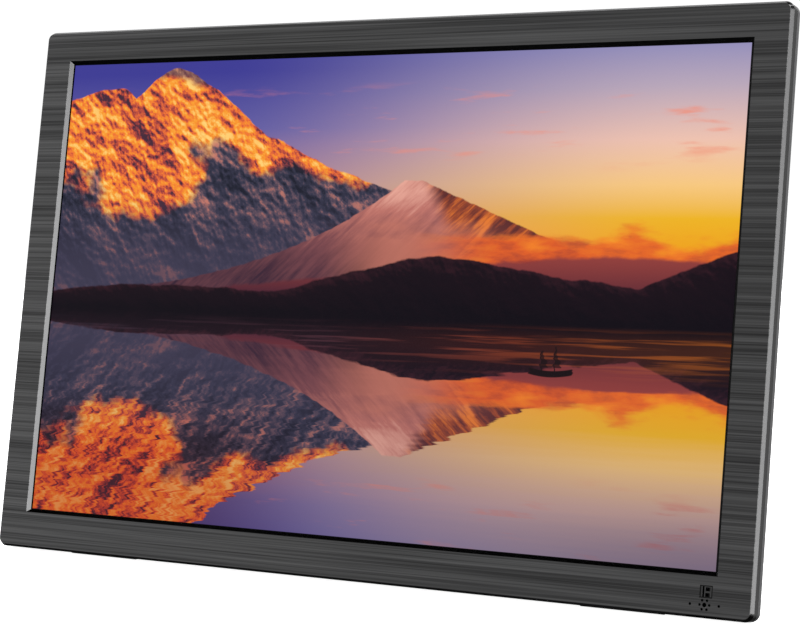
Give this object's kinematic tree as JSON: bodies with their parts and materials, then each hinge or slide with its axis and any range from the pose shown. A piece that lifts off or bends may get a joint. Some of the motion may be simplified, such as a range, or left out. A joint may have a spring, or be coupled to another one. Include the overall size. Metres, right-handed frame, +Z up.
{
  "type": "digital photo frame",
  "caption": "Wide flat-screen photo frame with a brushed metal border, leaning back on a hinged rear leg, with keys, ports and wall keyholes on its back.",
  "frame": {"origin": "centre of the footprint, on the surface that the frame stands on", "axes": "+X to the viewer's right along the screen, +Y towards the back, +Z up; the screen faces -Y and leans back 10 degrees"},
  "size_m": [0.404, 0.0886, 0.2642],
  "materials": {
    "brushed_metal": "dark grey anodised, brushed along its length",
    "smoked_window": "smoked infrared-clear plastic",
    "display": "lit display behind an anti-glare polariser",
    "black_plastic": "fine moulded grain",
    "module_frame": "black moulding",
    "film": "clear and frosted optical film",
    "light_guide": "clear acrylic with a printed dot pattern",
    "reflector": "white film",
    "steel": "bright zinc-plated sheet",
    "aluminium": "plain extrusion",
    "circuit_board": "green solder mask on glass fibre",
    "ribbon": "flat ribbon cable",
    "connector": "black connector moulding",
    "speaker": "black basket and paper cone",
    "rubber": "matt black",
    "key_plastic": "satin moulding",
    "black_screw": "black-plated"
  },
  "bodies": {
    "frame_body": {"front_frame": "brushed_metal", "sensor_window": "smoked_window", "lcd_cell": "display", "prism_sheet": "film", "diffuser_sheet": "film", "light_guide": "light_guide", "reflector_sheet": "reflector", "panel_frame": "module_frame", "led_bar": "aluminium", "backlight_tray": "steel", "panel_bracket_left": "steel", "panel_bracket_right": "steel", "panel_driver_board": "circuit_board", "display_cable": "ribbon", "main_board": "circuit_board", "processor_heatsink": "aluminium", "dc_jack": "connector", "audio_jack": "connector", "hdmi_port": "steel", "usb_port": "steel", "card_slot": "steel", "speaker_left": "speaker", "speaker_right": "speaker", "sensor_board": "circuit_board", "infrared_receiver": "connector", "key_board": "circuit_board", "stand_pin": "steel", "hinge_bracket_left": "steel", "hinge_bracket_right": "steel", "foot_pad_left": "rubber", "foot_pad_right": "rubber", "rear_cover": "black_plastic", "cover_screw_top_left": "black_screw", "cover_screw_middle_left": "black_screw", "cover_screw_bottom_left": "black_screw", "bracket_screw_left": "steel", "hinge_screw_left": "black_screw", "cover_screw_top_right": "black_screw", "cover_screw_middle_right": "black_screw", "cover_screw_bottom_right": "black_screw", "bracket_screw_right": "steel", "hinge_screw_right": "black_screw", "board_screw_lower": "steel", "board_screw_upper": "steel", "key_board_screw_lower": "steel", "key_board_screw_upper": "steel"},
    "stand": {"stand_leg": "black_plastic", "stand_shoe": "rubber"},
    "button_ok": {"button_ok": "key_plastic"},
    "button_down": {"button_down": "key_plastic"},
    "button_right": {"button_right": "key_plastic"},
    "button_left": {"button_left": "key_plastic"},
    "button_up": {"button_up": "key_plastic"},
    "button_menu": {"button_menu": "key_plastic"},
    "button_power": {"button_power": "key_plastic"}
  },
  "joints": [
    {"name": "stand_hinge", "type": "hinge", "parent": "frame_body", "child": "stand", "pos_m": [0, 0.00837, 0.18541], "axis": [1, 0, 0], "range_deg": [-20, 0]},
    {"name": "press_ok", "type": "slide", "parent": "frame_body", "child": "button_ok", "axis": [0, -0.9848, 0.1736], "range_m": [0, 0.0008], "stiffness_N_per_m": 400},
    {"name": "press_down", "type": "slide", "parent": "frame_body", "child": "button_down", "axis": [0, -0.9848, 0.1736], "range_m": [0, 0.0008], "stiffness_N_per_m": 400},
    {"name": "press_right", "type": "slide", "parent": "frame_body", "child": "button_right", "axis": [0, -0.9848, 0.1736], "range_m": [0, 0.0008], "stiffness_N_per_m": 400},
    {"name": "press_left", "type": "slide", "parent": "frame_body", "child": "button_left", "axis": [0, -0.9848, 0.1736], "range_m": [0, 0.0008], "stiffness_N_per_m": 400},
    {"name": "press_up", "type": "slide", "parent": "frame_body", "child": "button_up", "axis": [0, -0.9848, 0.1736], "range_m": [0, 0.0008], "stiffness_N_per_m": 400},
    {"name": "press_menu", "type": "slide", "parent": "frame_body", "child": "button_menu", "axis": [0, -0.9848, 0.1736], "range_m": [0, 0.0008], "stiffness_N_per_m": 400},
    {"name": "press_power", "type": "slide", "parent": "frame_body", "child": "button_power", "axis": [0, -0.9848, 0.1736], "range_m": [0, 0.0008], "stiffness_N_per_m": 400}
  ]
}
